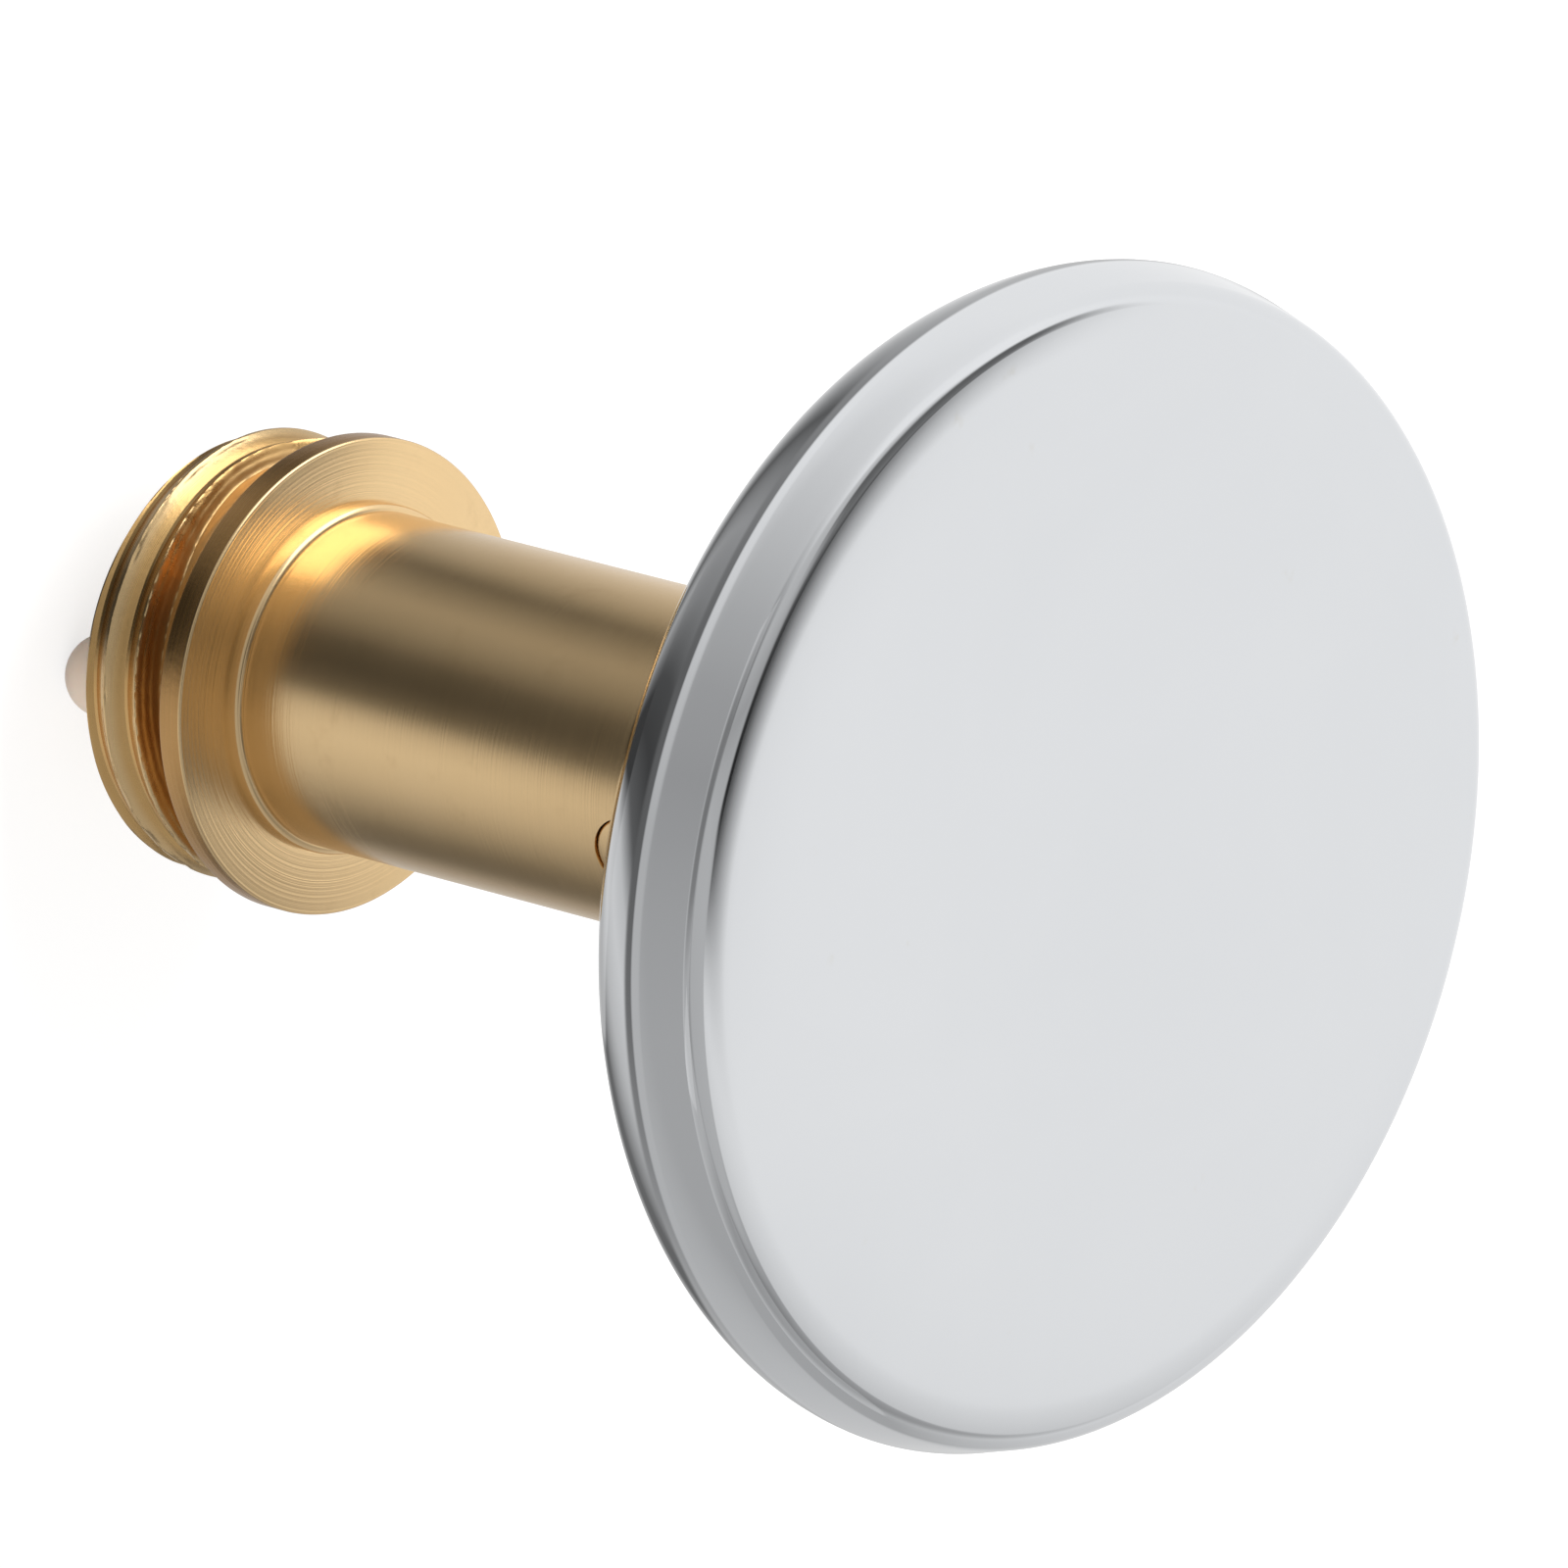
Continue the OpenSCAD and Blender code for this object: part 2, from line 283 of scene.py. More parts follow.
def turned_brass():
    finish = Finish("turned_brass", Metallic=1.0, IOR=1.45)
    radius = finish.off_axis()
    along = finish.height() + radius * 0.83
    fine = finish.lines(along, scale=9000.0, detail=3.0)
    coarse = finish.lines(along, scale=1500.0, detail=2.0)
    drift = finish.clouds(260.0, 4.0)
    stain = finish.step(finish.clouds(620.0, 5.0, 0.65), 0.54, 0.8)
    pale = finish.blend(drift, (0.84, 0.595, 0.31), (0.88, 0.64, 0.355))
    colour = finish.blend(stain * 0.22, pale, (0.58, 0.37, 0.17))
    rough = 0.15 + fine * 0.1 + drift * 0.05
    # Facing cuts are deeper than those along the tube, and the flange's face is a shallow cone.
    faced = finish.step(radius, 0.0061, 0.0064, 0.35, 1.0)
    cut = finish.bump((coarse * 0.25 + fine * 0.75) * faced, 0.4, 0.00004)
    coned = finish.bump(finish.past(radius, 0.0063) * -0.07, 1.0, 1.0, cut)
    return finish.feed(Base_Color=colour, Roughness=rough, Normal=coned)


def cut_thread_brass():
    finish = Finish("cut_thread_brass", Metallic=1.0, IOR=1.45)
    radius = finish.off_axis()
    high = finish.height()
    along = high + radius * 0.4
    fine = finish.lines(along, scale=7000.0, detail=3.0)
    coarse = finish.lines(along, scale=2400.0, detail=1.0)
    wander = finish.clouds(700.0, 4.0)
    deep = 1.0 - finish.step(radius, 0.00705, 0.0078)
    flange_rim = finish.step(high, -0.0002, 0.0)
    crest = finish.step(radius, 0.0077, 0.00796) * (1 - flange_rim)
    # Painted shade: the hollows of the thread and the undercut below the flange are painted a darker brown, the deeper
    # the darker, in uneven patches, where shade falls in the recess.
    root_shade_patches = finish.step(wander, 0.42, 0.75)
    pale = finish.blend(wander, (0.66, 0.4, 0.155), (0.76, 0.49, 0.2))
    painted_root_shade = finish.blend(deep * (0.45 + root_shade_patches * 0.4), pale, (0.5, 0.34, 0.17))
    # Wear and painted highlight: the crests and upper flanks are painted a paler brass, both as rubbed metal and as the
    # light they catch.
    crest_wear_and_highlight = finish.blend(crest * 0.5, painted_root_shade, (0.9, 0.7, 0.42))
    colour = finish.blend(flange_rim * (0.8 + wander * 0.3), crest_wear_and_highlight, (0.54, 0.31, 0.12))
    rough = 0.16 + fine * 0.2 + deep * 0.1
    cut = finish.bump(coarse, 0.4, 0.00006)
    torn = finish.bump(finish.clouds(2600.0, 5.0, 0.6), 0.25, 0.00005, cut)
    return finish.feed(Base_Color=colour, Roughness=rough, Normal=torn)


def polished_chrome():
    finish = Finish("polished_chrome", Metallic=1.0, IOR=2.2)
    smear = finish.clouds(70.0, 5.0, 0.6, warp=0.6)
    grain = finish.clouds(1400.0, 4.0)
    speck = finish.step(finish.clouds(620.0, 4.0, 0.6), 0.68, 0.84)
    grey = finish.blend(smear, (0.703, 0.719, 0.74), (0.748, 0.76, 0.777))
    colour = finish.blend(speck * 0.25, grey, (0.64, 0.6, 0.5))
    rough = 0.035 + smear * 0.035 + grain * 0.015 + speck * 0.03
    ripple = finish.bump(finish.clouds(45.0, 2.0, 0.4), 0.06, 0.0012)
    rim = finish.past(finish.off_axis(), 0.0125)
    buffed = finish.bump(rim * rim * -1.6, 1.0, 1.0, ripple)
    return finish.feed(Base_Color=colour, Roughness=rough, Normal=buffed)


def pale_acetal():
    finish = Finish("pale_acetal", Metallic=0.0, IOR=1.48, Subsurface_Weight=0.12, Subsurface_Scale=0.0006)
    mottle = finish.clouds(420.0, 4.0)
    skin = finish.clouds(5200.0, 3.0)
    colour = finish.blend(mottle, (0.8, 0.635, 0.5), (0.86, 0.715, 0.59))
    rough = 0.34 + mottle * 0.12
    pitted = finish.bump(skin, 0.2, 0.00003)
    return finish.feed(Base_Color=colour, Roughness=rough, Normal=pitted)


def spring_wire():
    finish = Finish("spring_wire", Metallic=1.0, IOR=2.5)
    drawn = finish.clouds(1800.0, 4.0)
    haze = finish.clouds(300.0, 3.0)
    colour = finish.blend(haze, (0.5, 0.51, 0.52), (0.63, 0.64, 0.645))
    rough = 0.18 + drawn * 0.2
    scored = finish.bump(drawn, 0.15, 0.00002)
    return finish.feed(Base_Color=colour, Roughness=rough, Normal=scored)


def black_rubber():
    finish = Finish("black_rubber", Metallic=0.0, IOR=1.5)
    dust = finish.clouds(520.0, 5.0, 0.6)
    skin = finish.clouds(3600.0, 3.0)
    colour = finish.blend(dust, (0.018, 0.018, 0.019), (0.05, 0.05, 0.052))
    rough = 0.48 + dust * 0.22
    moulded = finish.bump(skin, 0.3, 0.00004)
    return finish.feed(Base_Color=colour, Roughness=rough, Normal=moulded)


def add_mesh(name, shape):
    """Turns a bmesh into a mesh object in the scene."""
    mesh = bpy.data.meshes.new(name)
    shape.to_mesh(mesh)
    shape.free()
    piece = bpy.data.objects.new(name, mesh)
    bpy.context.scene.collection.objects.link(piece)
    return piece


def add_piece(name, shape, body, slot, node, *materials, crease=32.0):
    """Makes a finished piece from a bmesh, riding on a body in place of a CAD node."""
    piece = add_mesh(name, shape)
    piece.data.shade_smooth()
    piece.data.set_sharp_from_angle(angle=math.radians(crease))
    for material in materials:
        piece.data.materials.append(material)
    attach(piece, body)
    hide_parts(node)
    return piece


def draw_profile(shape, points, closed):
    """A wire of (radius, height[, rounding]) points in millimetres, with its corners rounded."""
    verts = [shape.verts.new((p[0] * MM, 0, p[1] * MM)) for p in points]
    for pair in zip(verts, verts[1:]):
        shape.edges.new(pair)
    if closed:
        shape.edges.new((verts[-1], verts[0]))
    for size in sorted({p[2] for p in points if len(p) > 2}):
        corners = [v for v, p in zip(verts, points) if len(p) > 2 and p[2] == size]
        bmesh.ops.bevel(
            shape, geom=corners, offset=size * MM, offset_type="OFFSET", affect="VERTICES",
            segments=4 if size < 0.4 else 6 if size < 1 else 14, profile=0.5, material=-1,
        )


def split_line(shape, start, end, cuts):
    """Adds points to the wire's line between two (radius, height) points."""
    ends = [Vector((p[0] * MM, 0, p[1] * MM)) for p in (start, end)]
    for e in shape.edges:
        places = [v.co for v in e.verts]
        if any(all((a - b).length < 1e-6 for a, b in zip(order, ends)) for order in (places, places[::-1])):
            bmesh.ops.subdivide_edges(shape, edges=[e], cuts=cuts)
            return
    raise ValueError("no such line")


def spin_round(shape, steps):
    """Turns the drawn wire once round the axis and closes its seam and poles."""
    bmesh.ops.spin(
        shape, geom=shape.verts[:] + shape.edges[:], cent=(0, 0, 0), axis=Z_AXIS,
        angle=math.tau, steps=steps, use_merge=True,
    )
    bmesh.ops.remove_doubles(shape, verts=shape.verts[:], dist=1e-7)
    bmesh.ops.recalc_face_normals(shape, faces=shape.faces[:])


def turned(points, steps, closed=True):
    shape = bmesh.new()
    draw_profile(shape, points, closed)
    spin_round(shape, steps)
    return shape


def at_side(end, turn=0.0):
    """Turn round the axis to one of two opposite sides."""
    return Matrix.Rotation(turn + math.pi * end, 4, "Z")


def read_table(table, x):
    """Value of a table of (place, value) pairs at x, on straight lines."""
    for (a, low), (b, high) in zip(table, table[1:]):
        if x <= b:
            return low + (high - low) * (x - a) / (b - a)
    return table[-1][1]


def clamp(x):
    return min(max(x, 0.0), 1.0)


def cut_thread(shape):
    """Moves the spigot's points in to a helix that runs out at the shoulder, with torn crests and turning lines."""
    for v in shape.verts:
        x, y, z = (c / MM for c in v.co)
        r = math.hypot(x, y)
        if r < THREAD_ROOT_R - 0.05 or z > -1e-3:
            continue
        angle = math.atan2(y, x)
        side = Vector((math.cos(angle), math.sin(angle), 0))
        turn = (math.degrees(angle) - FRONT + 180) % 360 - 180
        edge = read_table(SHOULDER, turn)
        crest_z = CREST_Z + THREAD_PITCH * turn / 360
        phase = ((z - crest_z) / THREAD_PITCH + 0.5) % 1.0 - 0.5
        flank = clamp((abs(phase) - CREST_SHARE) / FLANK_SHARE)
        rough = noise.fractal(Vector((7.0 * side.x, 7.0 * side.y, 2.0 * z)), 0.9, 2.2, 4)
        thread = THREAD_R - GROOVE_DEPTH * flank
        rise = clamp((edge + SHOULDER_WOBBLE * rough + SHOULDER_OVER - z) / SHOULDER_SLOPE)
        shoulder = THREAD_ROOT_R + rise * (THREAD_R - THREAD_ROOT_R)
        chamfer = THREAD_ROOT_R + z - SPIGOT_END
        new = min(r, thread, shoulder, chamfer)
        crest = max(0.0, 1.0 - flank / TORN_SHARE) if new == thread else 0.0
        new -= crest * max(0.0, rough) * CREST_TEAR
        if crest and z <= crest_z - THREAD_PITCH and PEEL_FROM < turn < PEEL_TO:
            peel = max(0.0, noise.fractal(Vector((5.0 * side.x, 5.0 * side.y, 1.0)), 0.7, 2.5, 3))
            new += crest * peel * PEEL_OUT
            z += crest * peel * PEEL_UP
        if new == shoulder > THREAD_ROOT_R:
            new -= TURNING_LINE * (1.0 + math.sin((z - edge) * math.tau / TURNING_PITCH))
        v.co = (new * side.x * MM, new * side.y * MM, z * MM)


def bore_cutter():
    """Cylinders of the two pin holes and the two peg holes."""
    shape = bmesh.new()
    across = Matrix.Translation((TUBE_R * MM, 0, PIN_Z * MM)) @ Matrix.Rotation(math.pi / 2, 4, "Y")
    down = Matrix.Translation((PEG_OFF_AXIS * MM, 0, PEG_HOLE_Z * MM))
    for end in SIDES:
        for radius, place in ((PIN_HOLE_R, at_side(end) @ across), (PEG_HOLE_R, at_side(end, PEG_TURN) @ down)):
            bmesh.ops.create_cone(
                shape, cap_ends=True, segments=48, radius1=radius * MM, radius2=radius * MM,
                depth=DRILL_LENGTH * MM, matrix=place,
            )
    return shape


def drilled(shape, cutter):
    """Takes the cutter's solids out of the shape, worked in millimetres so that small faces survive."""
    for part in (shape, cutter):
        bmesh.ops.scale(part, vec=(1 / MM, 1 / MM, 1 / MM), verts=part.verts[:])
    blank = add_mesh("blank", shape)
    drill = add_mesh("drill", cutter)
    hole = blank.modifiers.new("holes", "BOOLEAN")
    hole.object = drill
    hole.operation = "DIFFERENCE"
    hole.solver = "MANIFOLD"
    bpy.context.view_layer.update()
    result = bmesh.new()
    result.from_object(blank, bpy.context.evaluated_depsgraph_get())
    bmesh.ops.scale(result, vec=(MM, MM, MM), verts=result.verts[:])
    for stock in (blank, drill):
        mesh = stock.data
        bpy.data.objects.remove(stock)
        bpy.data.meshes.remove(mesh)
    return result


def make_body(smooth, cut):
    shape = bmesh.new()
    chamfer_top = SPIGOT_END + THREAD_CHAMFER
    land_top = THREAD_TOP - 0.01
    draw_profile(shape, [
        (VENT_R, SPIGOT_END, 0.1), (THREAD_ROOT_R, SPIGOT_END), (THREAD_R, chamfer_top), (THREAD_R, land_top),
        (THREAD_ROOT_R, THREAD_TOP), (THREAD_ROOT_R, 0), (FLANGE_R, 0, 0.11), (FLANGE_R, FLANGE_TOP, 0.1),
        (BOSS_R, FLANGE_TOP), (BOSS_R, BOSS_TOP, 0.22), (TUBE_R, BOSS_TOP), (TUBE_R, TUBE_TOP, TUBE_EDGE),
        (BORE_R, TUBE_TOP, 0.15), (BORE_R, BORE_FLOOR), (VENT_R, BORE_FLOOR),
    ], closed=True)
    split_line(shape, (THREAD_R, chamfer_top), (THREAD_R, land_top), cuts=110)
    split_line(shape, (THREAD_ROOT_R, SPIGOT_END), (THREAD_R, chamfer_top), cuts=26)
    split_line(shape, (THREAD_ROOT_R, THREAD_TOP), (THREAD_ROOT_R, 0), cuts=8)
    split_line(shape, (TUBE_R, BOSS_TOP), (TUBE_R, TUBE_TOP - TUBE_EDGE), cuts=19)
    spin_round(shape, steps=320)
    cut_thread(shape)
    shape = drilled(shape, bore_cutter())
    for face in shape.faces:
        middle = face.calc_center_median()
        outside = math.hypot(middle.x, middle.y) > CUT_BRASS_R * MM
        face.material_index = 1 if outside and middle.z < CUT_BRASS_TOP * MM else 0
    return add_piece("brass_body", shape, "housing", "brass", "body", smooth, cut, crease=38.0)


def make_pin(end, metal):
    """Round pin with a broken edge, its end following the tube."""
    shape = bmesh.new()
    bmesh.ops.create_cone(
        shape, cap_ends=True, segments=64, radius1=PIN_R * MM, radius2=PIN_R * MM, depth=PIN_LENGTH * MM,
        matrix=Matrix.Translation((PIN_MIDDLE * MM, 0, PIN_Z * MM)) @ Matrix.Rotation(math.pi / 2, 4, "Y"),
    )
    rim = [e for e in shape.edges if all(v.co.x > PIN_MIDDLE * MM for v in e.verts)]
    bmesh.ops.bevel(
        shape, geom=rim, offset=PIN_EDGE * MM, offset_type="OFFSET", affect="EDGES", segments=3, profile=0.5,
        material=-1,
    )
    face = max(shape.faces, key=lambda f: f.calc_center_median().x)
    for _ in range(3):
        bmesh.ops.inset_region(shape, faces=[face], thickness=0.35 * MM)
    for v in shape.verts:
        if v.co.x > PIN_MIDDLE * MM:
            v.co.x -= TUBE_R * MM - math.sqrt((TUBE_R * MM) ** 2 - v.co.y ** 2)
    bmesh.ops.rotate(shape, verts=shape.verts[:], cent=(0, 0, 0), matrix=at_side(end).to_3x3())
    return add_piece(f"brass_pin_{end + 1}", shape, "housing", "brass", f"bush_pin_{end + 1}", metal)


def make_peg_seat(plastic):
    shape = turned([
        (VENT_R, BORE_FLOOR), (SEAT_R, BORE_FLOOR, 0.15), (SEAT_R, SEAT_TOP, 0.08), (SEAT_RECESS_R, SEAT_TOP, 0.08),
        (SEAT_RECESS_R, SPRING_LOW, 0.1), (VENT_R, SPRING_LOW),
    ], steps=192)
    for end in SIDES:
        peg = turned([(0, PEG_TIP, 0.12), (PEG_R, PEG_TIP, 1.38), (PEG_R, BORE_FLOOR)], steps=64, closed=False)
        place = at_side(end, PEG_TURN) @ Matrix.Translation((PEG_OFF_AXIS * MM, 0, 0))
        bmesh.ops.transform(peg, matrix=place, verts=peg.verts[:])
        stock = bpy.data.meshes.new("peg")
        peg.to_mesh(stock)
        peg.free()
        shape.from_mesh(stock)
        bpy.data.meshes.remove(stock)
    return add_piece("peg_seat", shape, "housing", "acetal_white", "spring_seat", plastic)


def make_spring(wire_metal):
    """Wire swept in closed, open and closed turns."""
    shape = bmesh.new()
    wire_r, mean_r, turns, shut_pitch, turn_steps = 0.35, 3.3, 6, 0.76, 64
    length = SPRING_HIGH - SPRING_LOW
    open_pitch = (length - 2 * wire_r - 2 * shut_pitch) / (turns - 2)
    ring = bmesh.ops.create_circle(
        shape, cap_ends=False, segments=16, radius=wire_r * MM,
        matrix=Matrix.Translation((mean_r * MM, 0, (SPRING_LOW + wire_r) * MM)) @ Matrix.Rotation(math.pi / 2, 4, "X"),
    )
    first = list({e for v in ring["verts"] for e in v.link_edges})
    bmesh.ops.contextual_create(shape, geom=first)
    end = ring["verts"] + first
    for count, pitch in ((1, shut_pitch), (turns - 2, open_pitch), (1, shut_pitch)):
        end = bmesh.ops.spin(
            shape, geom=end, cent=(0, 0, 0), axis=Z_AXIS, dvec=(0, 0, pitch * MM / turn_steps),
            angle=math.tau * count, steps=turn_steps * count,
        )["geom_last"]
    bmesh.ops.contextual_create(shape, geom=[e for e in end if isinstance(e, bmesh.types.BMEdge)])
    bmesh.ops.recalc_face_normals(shape, faces=shape.faces[:])
    piece = add_piece("coil_spring", shape, "housing", "spring_steel", "return_spring", wire_metal)
    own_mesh(piece)
    return piece


def make_cap(chrome):
    inner, outer = GROOVE_R
    shape = turned([
        (0, FACE_Z), (12.0, FACE_Z), (18.2, FACE_Z), (19.0, FACE_Z, 0.5), (20.07, 36.13, 0.55), (20.65, 34.1, 0.2),
        (20.49, 31.8, 2.1), (18.4, CAP_LOW, 0.25), (outer, CAP_LOW, 0.1), (outer, GROOVE_TOP), (inner, GROOVE_TOP),
        (inner, CAP_LOW, 0.1), (RECESS_R, CAP_LOW, 0.2), (RECESS_R, PLATE_LOW, 0.5), (HUB_R, PLATE_LOW, 0.4),
        (HUB_R, HUB_LOW, 0.15), (STUD_HOLE_R, HUB_LOW, 0.15), (STUD_HOLE_R, STUD_HOLE_TOP), (0, STUD_HOLE_TOP),
    ], steps=320, closed=False)
    return add_piece("chromed_cap", shape, "plunger", "chrome", "cap", chrome, crease=50.0)


def make_seal(rubber):
    shape = turned([
        (14.2, GROOVE_TOP, 0.1), (16.7, GROOVE_TOP, 0.1), (16.68, 30.4, 0.3), (16.5, SEAL_LOW, 0.4),
        (14.4, SEAL_LOW, 0.4), (14.22, 30.4, 0.3),
    ], steps=256)
    return add_piece("rubber_seal", shape, "plunger", "rubber_black", "cap_seal", rubber, crease=60.0)


def dress_cad(material, *names):
    """Gives CAD nodes that stay as they are a finish."""
    for name in names:
        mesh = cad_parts[name].data
        mesh.materials.clear()
        mesh.materials.append(material)


# Brightness that metal sees round the plug, by degrees from its front: on the floor from near to far, and in the air.
FLOOR_CLOSE = [
    (-180, 0.9), (-120, 0.6), (-98, 0.36), (-78, 0.14), (-52, 0.42), (-36, 0.27), (-16, 0.05), (8, 0.05), (24, 0.65),
    (50, 0.75), (80, 0.55), (110, 0.5), (150, 0.7), (180, 0.9),
]
FLOOR_NEAR = [
    (-180, 0.9), (-145, 0.8), (-120, 0.58), (-100, 0.38), (-82, 0.12), (-54, 0.37), (-38, 0.27), (-20, 0.085),
    (-6, 0.06), (9, 0.13), (21, 0.65), (34, 0.76), (56, 0.6), (74, 0.37), (94, 0.16), (110, 0.15), (122, 0.34),
    (138, 0.53), (160, 0.75), (180, 0.9),
]
FLOOR_RING = [
    (-180, 0.6), (-110, 0.55), (-75, 0.3), (-45, 0.24), (-15, 0.14), (16, 0.14), (47, 0.2), (76, 0.32), (120, 0.5),
    (180, 0.6),
]
FLOOR_MIDDLE = [
    (-180, 1.0), (-80, 1.0), (-57, 0.98), (-34, 0.84), (-11, 0.64), (12, 0.54), (35, 0.57), (81, 0.57), (104, 0.6),
    (127, 0.66), (150, 0.72), (180, 0.9),
]
FLOOR_FAR = [
    (-180, 1.0), (-104, 1.0), (-80, 0.94), (-58, 0.8), (-43, 0.66), (-27, 0.51), (-13, 0.42), (2, 0.385), (25, 0.44),
    (46, 0.47), (132, 0.47), (160, 0.8), (180, 1.0),
]
AIR_MIDDLE = [
    (-180, 1.0), (-110, 1.05), (-75, 1.0), (-55, 0.75), (-30, 0.35), (-10, 0.1), (8, 0.08), (24, 0.12), (40, 0.36),
    (75, 0.4), (100, 0.24), (140, 0.32), (160, 0.42), (171, 0.74), (177, 0.97), (180, 1.0),
]
# Overhead by place across the plug, from -1 on the left to 1: brightness of a dark panel, and of the grey round it.
PANEL_LEVEL = [
    (-1, 0.14), (-0.42, 0.14), (-0.3, 0.16), (-0.2, 0.2), (-0.1, 0.08), (-0.04, 0.04), (0, 0.02), (0.05, 0.05),
]
OVERHEAD = [(-1, 0.85), (-0.7, 0.7), (-0.5, 0.62), (-0.3, 0.56), (-0.1, 0.42), (0, 0.5), (0.1, 0.55), (1, 0.5)]
# Soft borders by height of the view, from 0 at the horizon to 1 overhead.
FLOOR_TO_AIR = (0.38, 0.58)
AIR_TO_OVERHEAD = (0.74, 0.84)
# Soft edges of the dark panel, by height, by place towards the plug's front and by place across it.
PANEL_LOWER = (0.665, 0.79)
PANEL_UPPER = (0.91, 0.98)
PANEL_FORE = (-0.12, 0.04)
PANEL_LEFT = (-0.56, -0.42)
PANEL_RIGHT = (0.02, 0.06)
PANEL_TILT = 0.1
# The floor: its size and the start of the near panels' twist in metres, their twist in turns to a metre, and its tones.
FLOOR_R = 3.0
TWIST_START = 0.02
TWIST = 1.1
FLOOR_GREY = 0.42
FLOOR_GLOW = 0.68


def turn_from_front(tree, vector):
    """Turn round the plug's axis, 0 to 1, with the plug's front at a half."""
    x = tree.split(vector, "X")
    y = tree.split(vector, "Y")
    turn = tree.node("ShaderNodeMath", {"operation": "ARCTAN2"}, {0: y, 1: x})
    return tree.node("ShaderNodeMath", {"operation": "FRACT"}, {0: turn / math.tau + (1.5 - FRONT / 360)})


def panels(tree, turn, levels):
    """Soft panels round the plug: (degrees from its front, brightness)."""
    stops = [((a + 180) / 360, b) for a, b in levels]
    return tree.node("ShaderNodeValToRGB", {"stops": stops}, {"Fac": turn})


def strips(tree, across, levels):
    """Soft strips overhead: (place across the plug, brightness)."""
    stops = [((a + 1) / 2, b) for a, b in levels]
    return tree.node("ShaderNodeValToRGB", {"stops": stops}, {"Fac": across * 0.5 + 0.5})


def make_world():
    """White backdrop; metal sees grey panels low down and a dark panel under a grey ceiling."""
    world = bpy.data.worlds.new("studio")
    bpy.context.scene.world = world
    world.use_nodes = True
    tree = NodeTree(world.node_tree)
    way = tree.node("ShaderNodeTexCoord", output="Generated")
    turn = turn_from_front(tree, way)
    right = Vector((-math.sin(math.radians(FRONT)), math.cos(math.radians(FRONT)), 0))
    up = tree.split(way, "Z")
    across = tree.dot(way, right)
    fore = tree.dot(way, right.cross(Vector(Z_AXIS)))
    low = tree.blend(tree.step(up, *FLOOR_TO_AIR), panels(tree, turn, FLOOR_FAR), panels(tree, turn, AIR_MIDDLE))
    sky = tree.blend(tree.step(up, *AIR_TO_OVERHEAD), low, strips(tree, across, OVERHEAD))
    between_heights = tree.step(up - across * PANEL_TILT, *PANEL_LOWER) * (1 - tree.step(up, *PANEL_UPPER))
    behind = 1 - tree.step(fore, *PANEL_FORE)
    between_sides = tree.step(across, *PANEL_LEFT) * (1 - tree.step(across, *PANEL_RIGHT))
    seen = tree.blend(between_heights * behind * between_sides, sky, strips(tree, across, PANEL_LEVEL))
    in_metal = tree.ray_is("Glossy")
    colour = tree.blend(in_metal, (1.0, 1.0, 1.0), seen)
    strength = tree.step(in_metal + tree.ray_is("Camera") + tree.ray_is("Transmission"), 0.0, 1.0, 0.75, 1.0)
    shade = tree.node("ShaderNodeBackground", inputs={"Color": colour, "Strength": strength})
    tree.node("ShaderNodeOutputWorld", inputs={"Surface": shade})


def make_floor():
    """White floor that keeps a soft shadow; metal sees it as pale and dim panels round the plug."""
    shape = bmesh.new()
    bmesh.ops.create_circle(
        shape, cap_ends=True, segments=96, radius=FLOOR_R, matrix=Matrix.Translation((0, 0, PEG_TIP * MM)),
    )
    floor = add_mesh("floor", shape)
    material = bpy.data.materials.new("floor_white")
    material.use_nodes = True
    tree = NodeTree(material.node_tree)
    turn = turn_from_front(tree, tree.place())
    away = tree.off_axis()
    twisted = turn - (away - TWIST_START) * TWIST
    seen = panels(tree, turn, FLOOR_CLOSE)
    for levels, way, start, end in (
        (FLOOR_NEAR, twisted, 0.0178, 0.0192), (FLOOR_RING, turn, 0.042, 0.049),
        (FLOOR_MIDDLE, turn, 0.056, 0.074), (FLOOR_FAR, turn, 0.11, 0.22),
    ):
        seen = tree.blend(tree.step(away, start, end), seen, panels(tree, way, levels))
    matt = tree.node("ShaderNodeBsdfDiffuse", inputs={"Color": opaque(FLOOR_GREY)})
    glow = tree.node("ShaderNodeEmission", inputs={"Color": opaque(1.0), "Strength": FLOOR_GLOW})
    lit = tree.node("ShaderNodeAddShader", inputs={0: matt, 1: glow})
    panel = tree.node("ShaderNodeEmission", inputs={"Color": seen, "Strength": 1.0})
    plain = tree.node("ShaderNodeMixShader", inputs={0: tree.ray_is("Camera"), 1: matt, 2: lit})
    surface = tree.node("ShaderNodeMixShader", inputs={0: tree.ray_is("Glossy"), 1: plain, 2: panel})
    tree.node("ShaderNodeOutputMaterial", inputs={"Surface": surface})
    floor.data.materials.append(material)


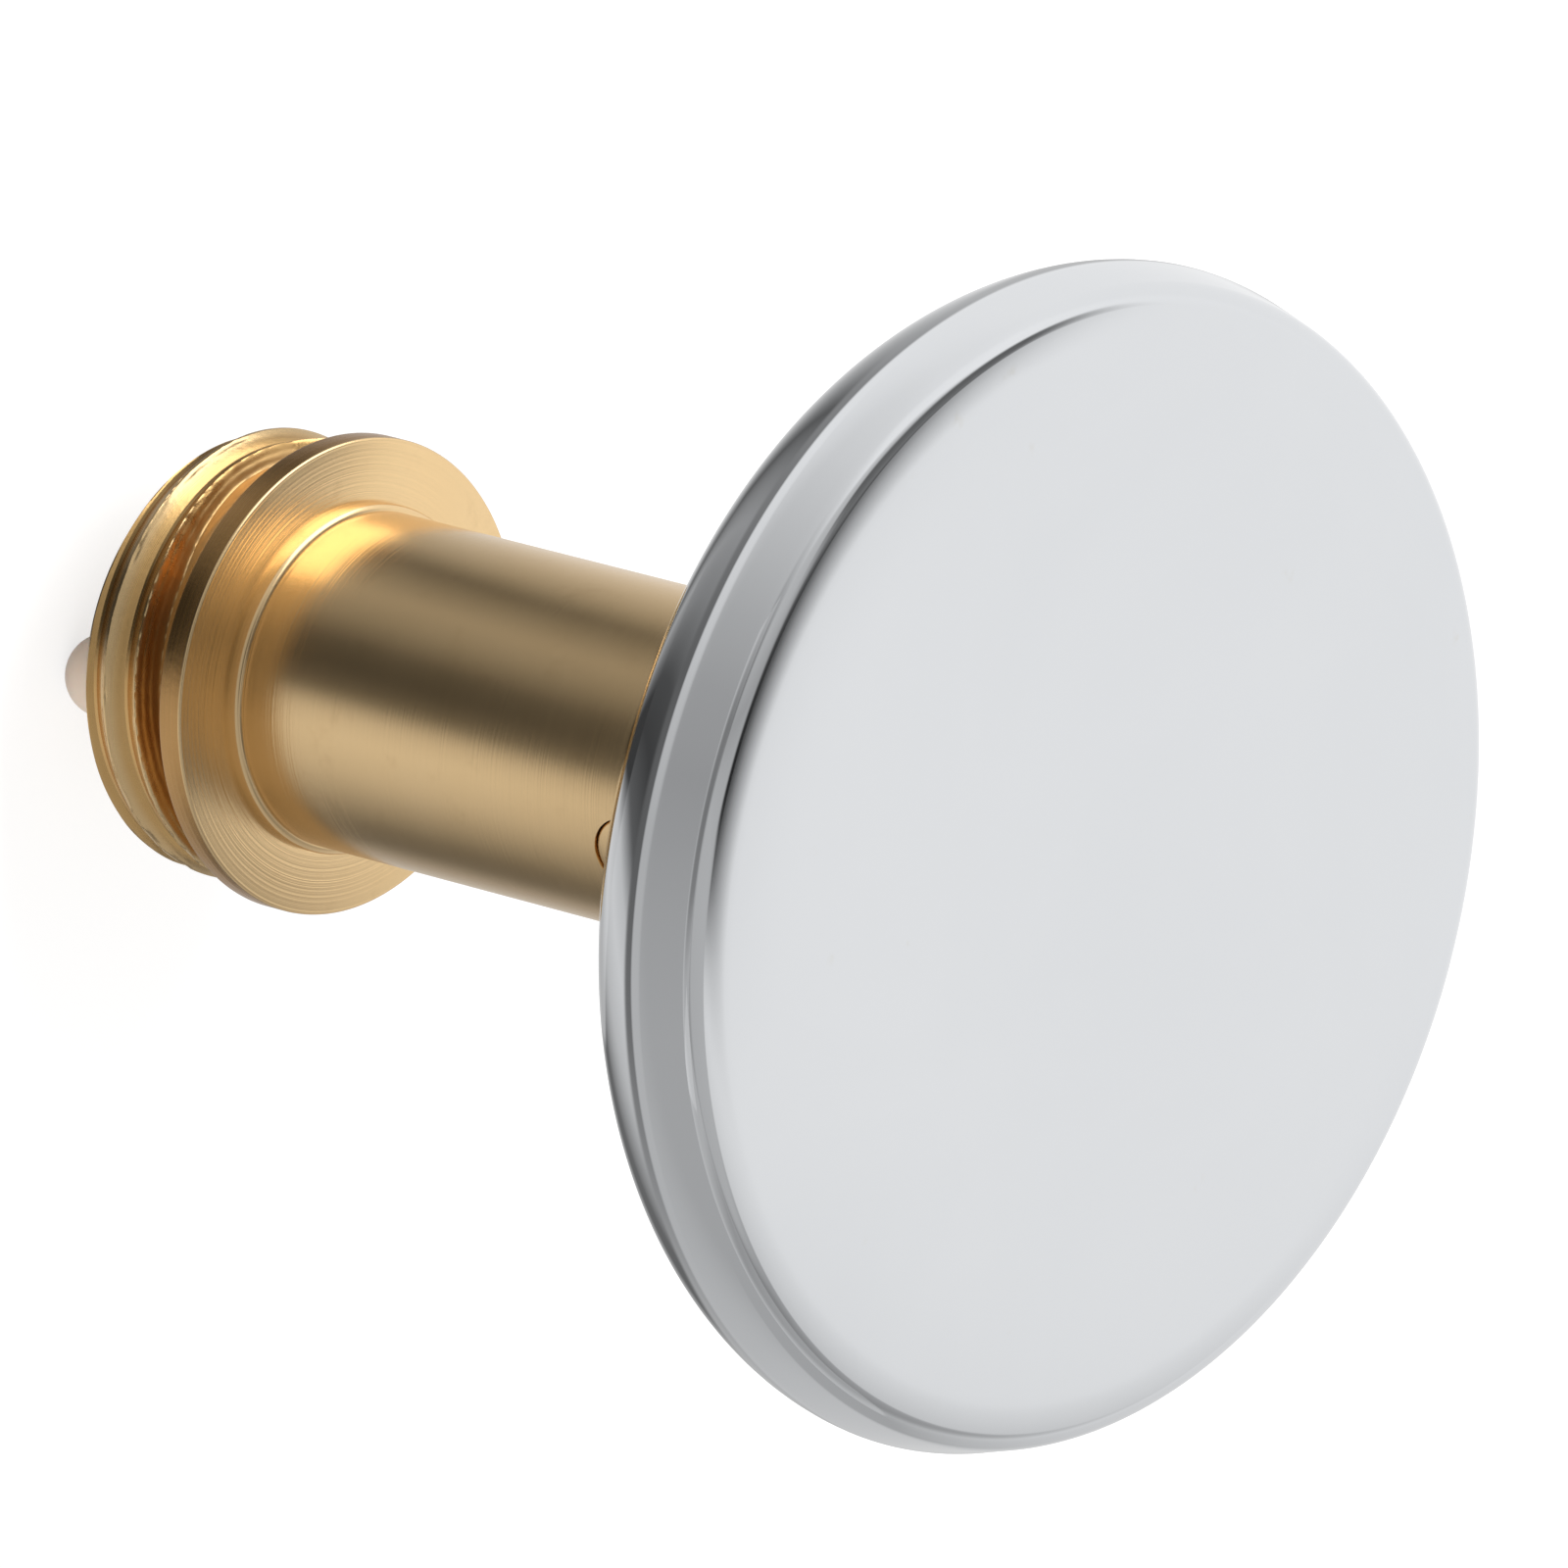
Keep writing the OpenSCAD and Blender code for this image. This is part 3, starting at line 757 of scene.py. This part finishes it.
def add_lamp(name, place, target, size, power, only=None):
    """Soft lamp that metal doesn't mirror, or one that shines on a single piece and is mirrored in it."""
    lamp = bpy.data.lights.new(name, "AREA")
    lamp.shape = "RECTANGLE"
    lamp.size, lamp.size_y = size
    lamp.energy = power
    holder = bpy.data.objects.new(name, lamp)
    holder.visible_camera = False
    holder.visible_glossy = only is not None
    if only:
        lit = bpy.data.collections.new(f"{name}_piece")
        lit.objects.link(only)
        holder.light_linking.receiver_collection = lit
    aim = (Vector(target) - Vector(place)).to_track_quat("-Z", "Y")
    holder.matrix_world = Matrix.Translation(place) @ aim.to_matrix().to_4x4()
    bpy.context.scene.collection.objects.link(holder)


def aim_camera():
    """Long lens on the plug's front, rolled so that its axis runs across the picture."""
    camera = bpy.data.objects.new("camera", bpy.data.cameras.new("camera"))
    right = Vector((-0.65212, 0.19149, 0.73352))
    up = Vector((-0.46798, -0.86286, -0.19081))
    back = Vector((0.59646, -0.46773, 0.65234))
    place = Matrix.Translation((0.43212, -0.33912, 0.49442))
    camera.matrix_world = place @ Matrix((right, up, back)).transposed().to_4x4()
    camera.data.lens = 484.9
    camera.data.sensor_width = 36.0
    camera.data.clip_start = 0.01
    bpy.context.scene.collection.objects.link(camera)
    bpy.context.scene.camera = camera


bpy.context.scene.view_settings.view_transform = "Standard"
aim_camera()
make_world()
make_floor()

brass = turned_brass()
acetal = pale_acetal()
steel = spring_wire()

body = make_body(brass, cut_thread_brass())
for end in SIDES:
    make_pin(end, brass)
make_peg_seat(acetal)
make_spring(steel)
cap = make_cap(polished_chrome())
make_seal(black_rubber())
dress_cad(acetal, "guide_bush", "spacer_sleeve", "index_ring", "cam_shaft")
dress_cad(steel, "thrust_washer", "index_pin_1", "index_pin_2", "spring_washer")
dress_cad(brass, "cap_stud")

add_lamp("key_lamp", (-0.25, -0.55, 0.7), (0, 0, 0.015), size=(0.5, 0.5), power=5.0)
add_lamp("fill_lamp", (0.7, 0.35, 0.45), (0, 0, 0.015), size=(0.6, 0.6), power=3.0)
add_lamp("side_lamp", (-0.144, -0.22, 0.1), (0, 0, 0), size=(0.28, 0.28), power=0.45, only=body)
add_lamp("back_lamp", (-0.463, 0.247, 0.604), (0, 0, 0.005), size=(0.3, 0.3), power=0.07, only=body)
add_lamp("front_card", (0.186, -0.079, 0.182), (0, 0, 0.035), size=(0.4, 0.12), power=0.022, only=cap)
add_lamp("right_card", (0.125, 0.159, 0.182), (0, 0, 0.035), size=(0.4, 0.12), power=0.022, only=cap)
